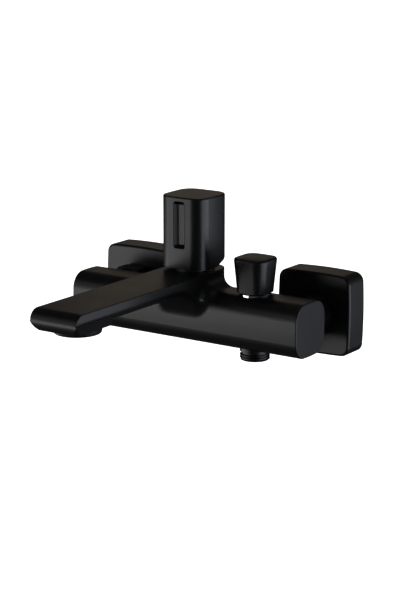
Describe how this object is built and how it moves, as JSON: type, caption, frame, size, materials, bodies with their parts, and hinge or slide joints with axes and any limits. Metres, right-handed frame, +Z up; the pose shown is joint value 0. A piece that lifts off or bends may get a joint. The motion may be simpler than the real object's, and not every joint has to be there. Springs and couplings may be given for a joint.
{
  "type": "wall mounted bath faucet",
  "caption": "Matt black wall mounted bath mixer: square bar body on two wall plates, flat spout, block handle that turns and tips, pull-up shower diverter and threaded outlet.",
  "frame": {"origin": "on the wall plane, midway between the two threaded wall connections", "axes": "+X along the wall to the user's right, +Y into the wall, +Z up; the spout points along -Y"},
  "size_m": [0.208, 0.2302, 0.1109],
  "materials": {
    "matt_black_paint": "matt black powder coat",
    "chrome_plate": "polished chrome plate",
    "raw_brass": "turned",
    "rubber": "moulded",
    "fibre": "pressed fibre",
    "ceramic": "lapped ceramic",
    "pale_plastic": "moulded",
    "grey_plastic": "moulded",
    "steel": "drawn stainless"
  },
  "bodies": {
    "mixer_body": {"body_casting": "matt_black_paint", "cartridge_base_seals": "rubber", "cartridge_base": "grey_plastic", "fixed_ceramic_disc": "ceramic", "cartridge_housing": "grey_plastic", "cartridge_ring_nut": "raw_brass", "cartridge_cover_ring": "chrome_plate", "diverter_seat_ring": "raw_brass", "diverter_bonnet": "chrome_plate", "diverter_stem_seal": "rubber", "diverter_spring": "steel", "shower_outlet": "matt_black_paint", "shower_outlet_seal": "rubber", "check_valve_body": "pale_plastic", "check_valve_spring": "steel", "aerator_housing": "matt_black_paint", "aerator_insert": "grey_plastic", "aerator_seal": "rubber", "hot_s_union": "raw_brass", "hot_wall_plate": "matt_black_paint", "hot_inlet_washer": "fibre", "hot_inlet_tail": "raw_brass", "hot_union_nut": "matt_black_paint", "cold_s_union": "raw_brass", "cold_wall_plate": "matt_black_paint", "cold_inlet_washer": "fibre", "cold_inlet_tail": "raw_brass", "cold_union_nut": "matt_black_paint"},
    "turning_group": {"cartridge_turret": "pale_plastic", "lever_pivot_pin": "steel"},
    "lever_group": {"lever_stem": "raw_brass", "handle": "matt_black_paint", "handle_adapter": "grey_plastic", "handle_grub_screw": "steel", "handle_screw_plug": "matt_black_paint"},
    "disc_group": {"moving_ceramic_disc": "ceramic", "disc_carrier": "pale_plastic"},
    "diverter_group": {"diverter_knob": "matt_black_paint", "diverter_stem": "raw_brass", "diverter_lower_washer": "rubber", "diverter_upper_washer": "rubber"},
    "check_group": {"check_valve_poppet": "grey_plastic"}
  },
  "joints": [
    {"name": "handle_turn", "type": "hinge", "parent": "mixer_body", "child": "turning_group", "pos_m": [0, -0.0564, 0.0145], "axis": [0, 0, 1], "range_deg": [-45, 45]},
    {"name": "handle_tilt", "type": "hinge", "parent": "turning_group", "child": "lever_group", "pos_m": [0, -0.0564, 0.0145], "axis": [-1, 0, 0], "range_deg": [0, 12]},
    {"name": "disc_slide", "type": "slide", "parent": "turning_group", "child": "disc_group", "axis": [0, -1, 0], "range_m": [0, 0.00168]},
    {"name": "diverter_pull", "type": "slide", "parent": "mixer_body", "child": "diverter_group", "axis": [0, 0, 1], "range_m": [0, 0.007], "stiffness_N_per_m": 250, "springref_m": -0.004, "deforming": ["diverter_spring"]},
    {"name": "check_lift", "type": "slide", "parent": "mixer_body", "child": "check_group", "axis": [0, 0, -1], "range_m": [0, 0.003], "stiffness_N_per_m": 120, "springref_m": -0.003, "deforming": ["check_valve_spring"]}
  ],
  "couplings": [
    {"joint": "disc_slide", "follows": "handle_tilt", "m_per_rad": 0.0079913}
  ]
}
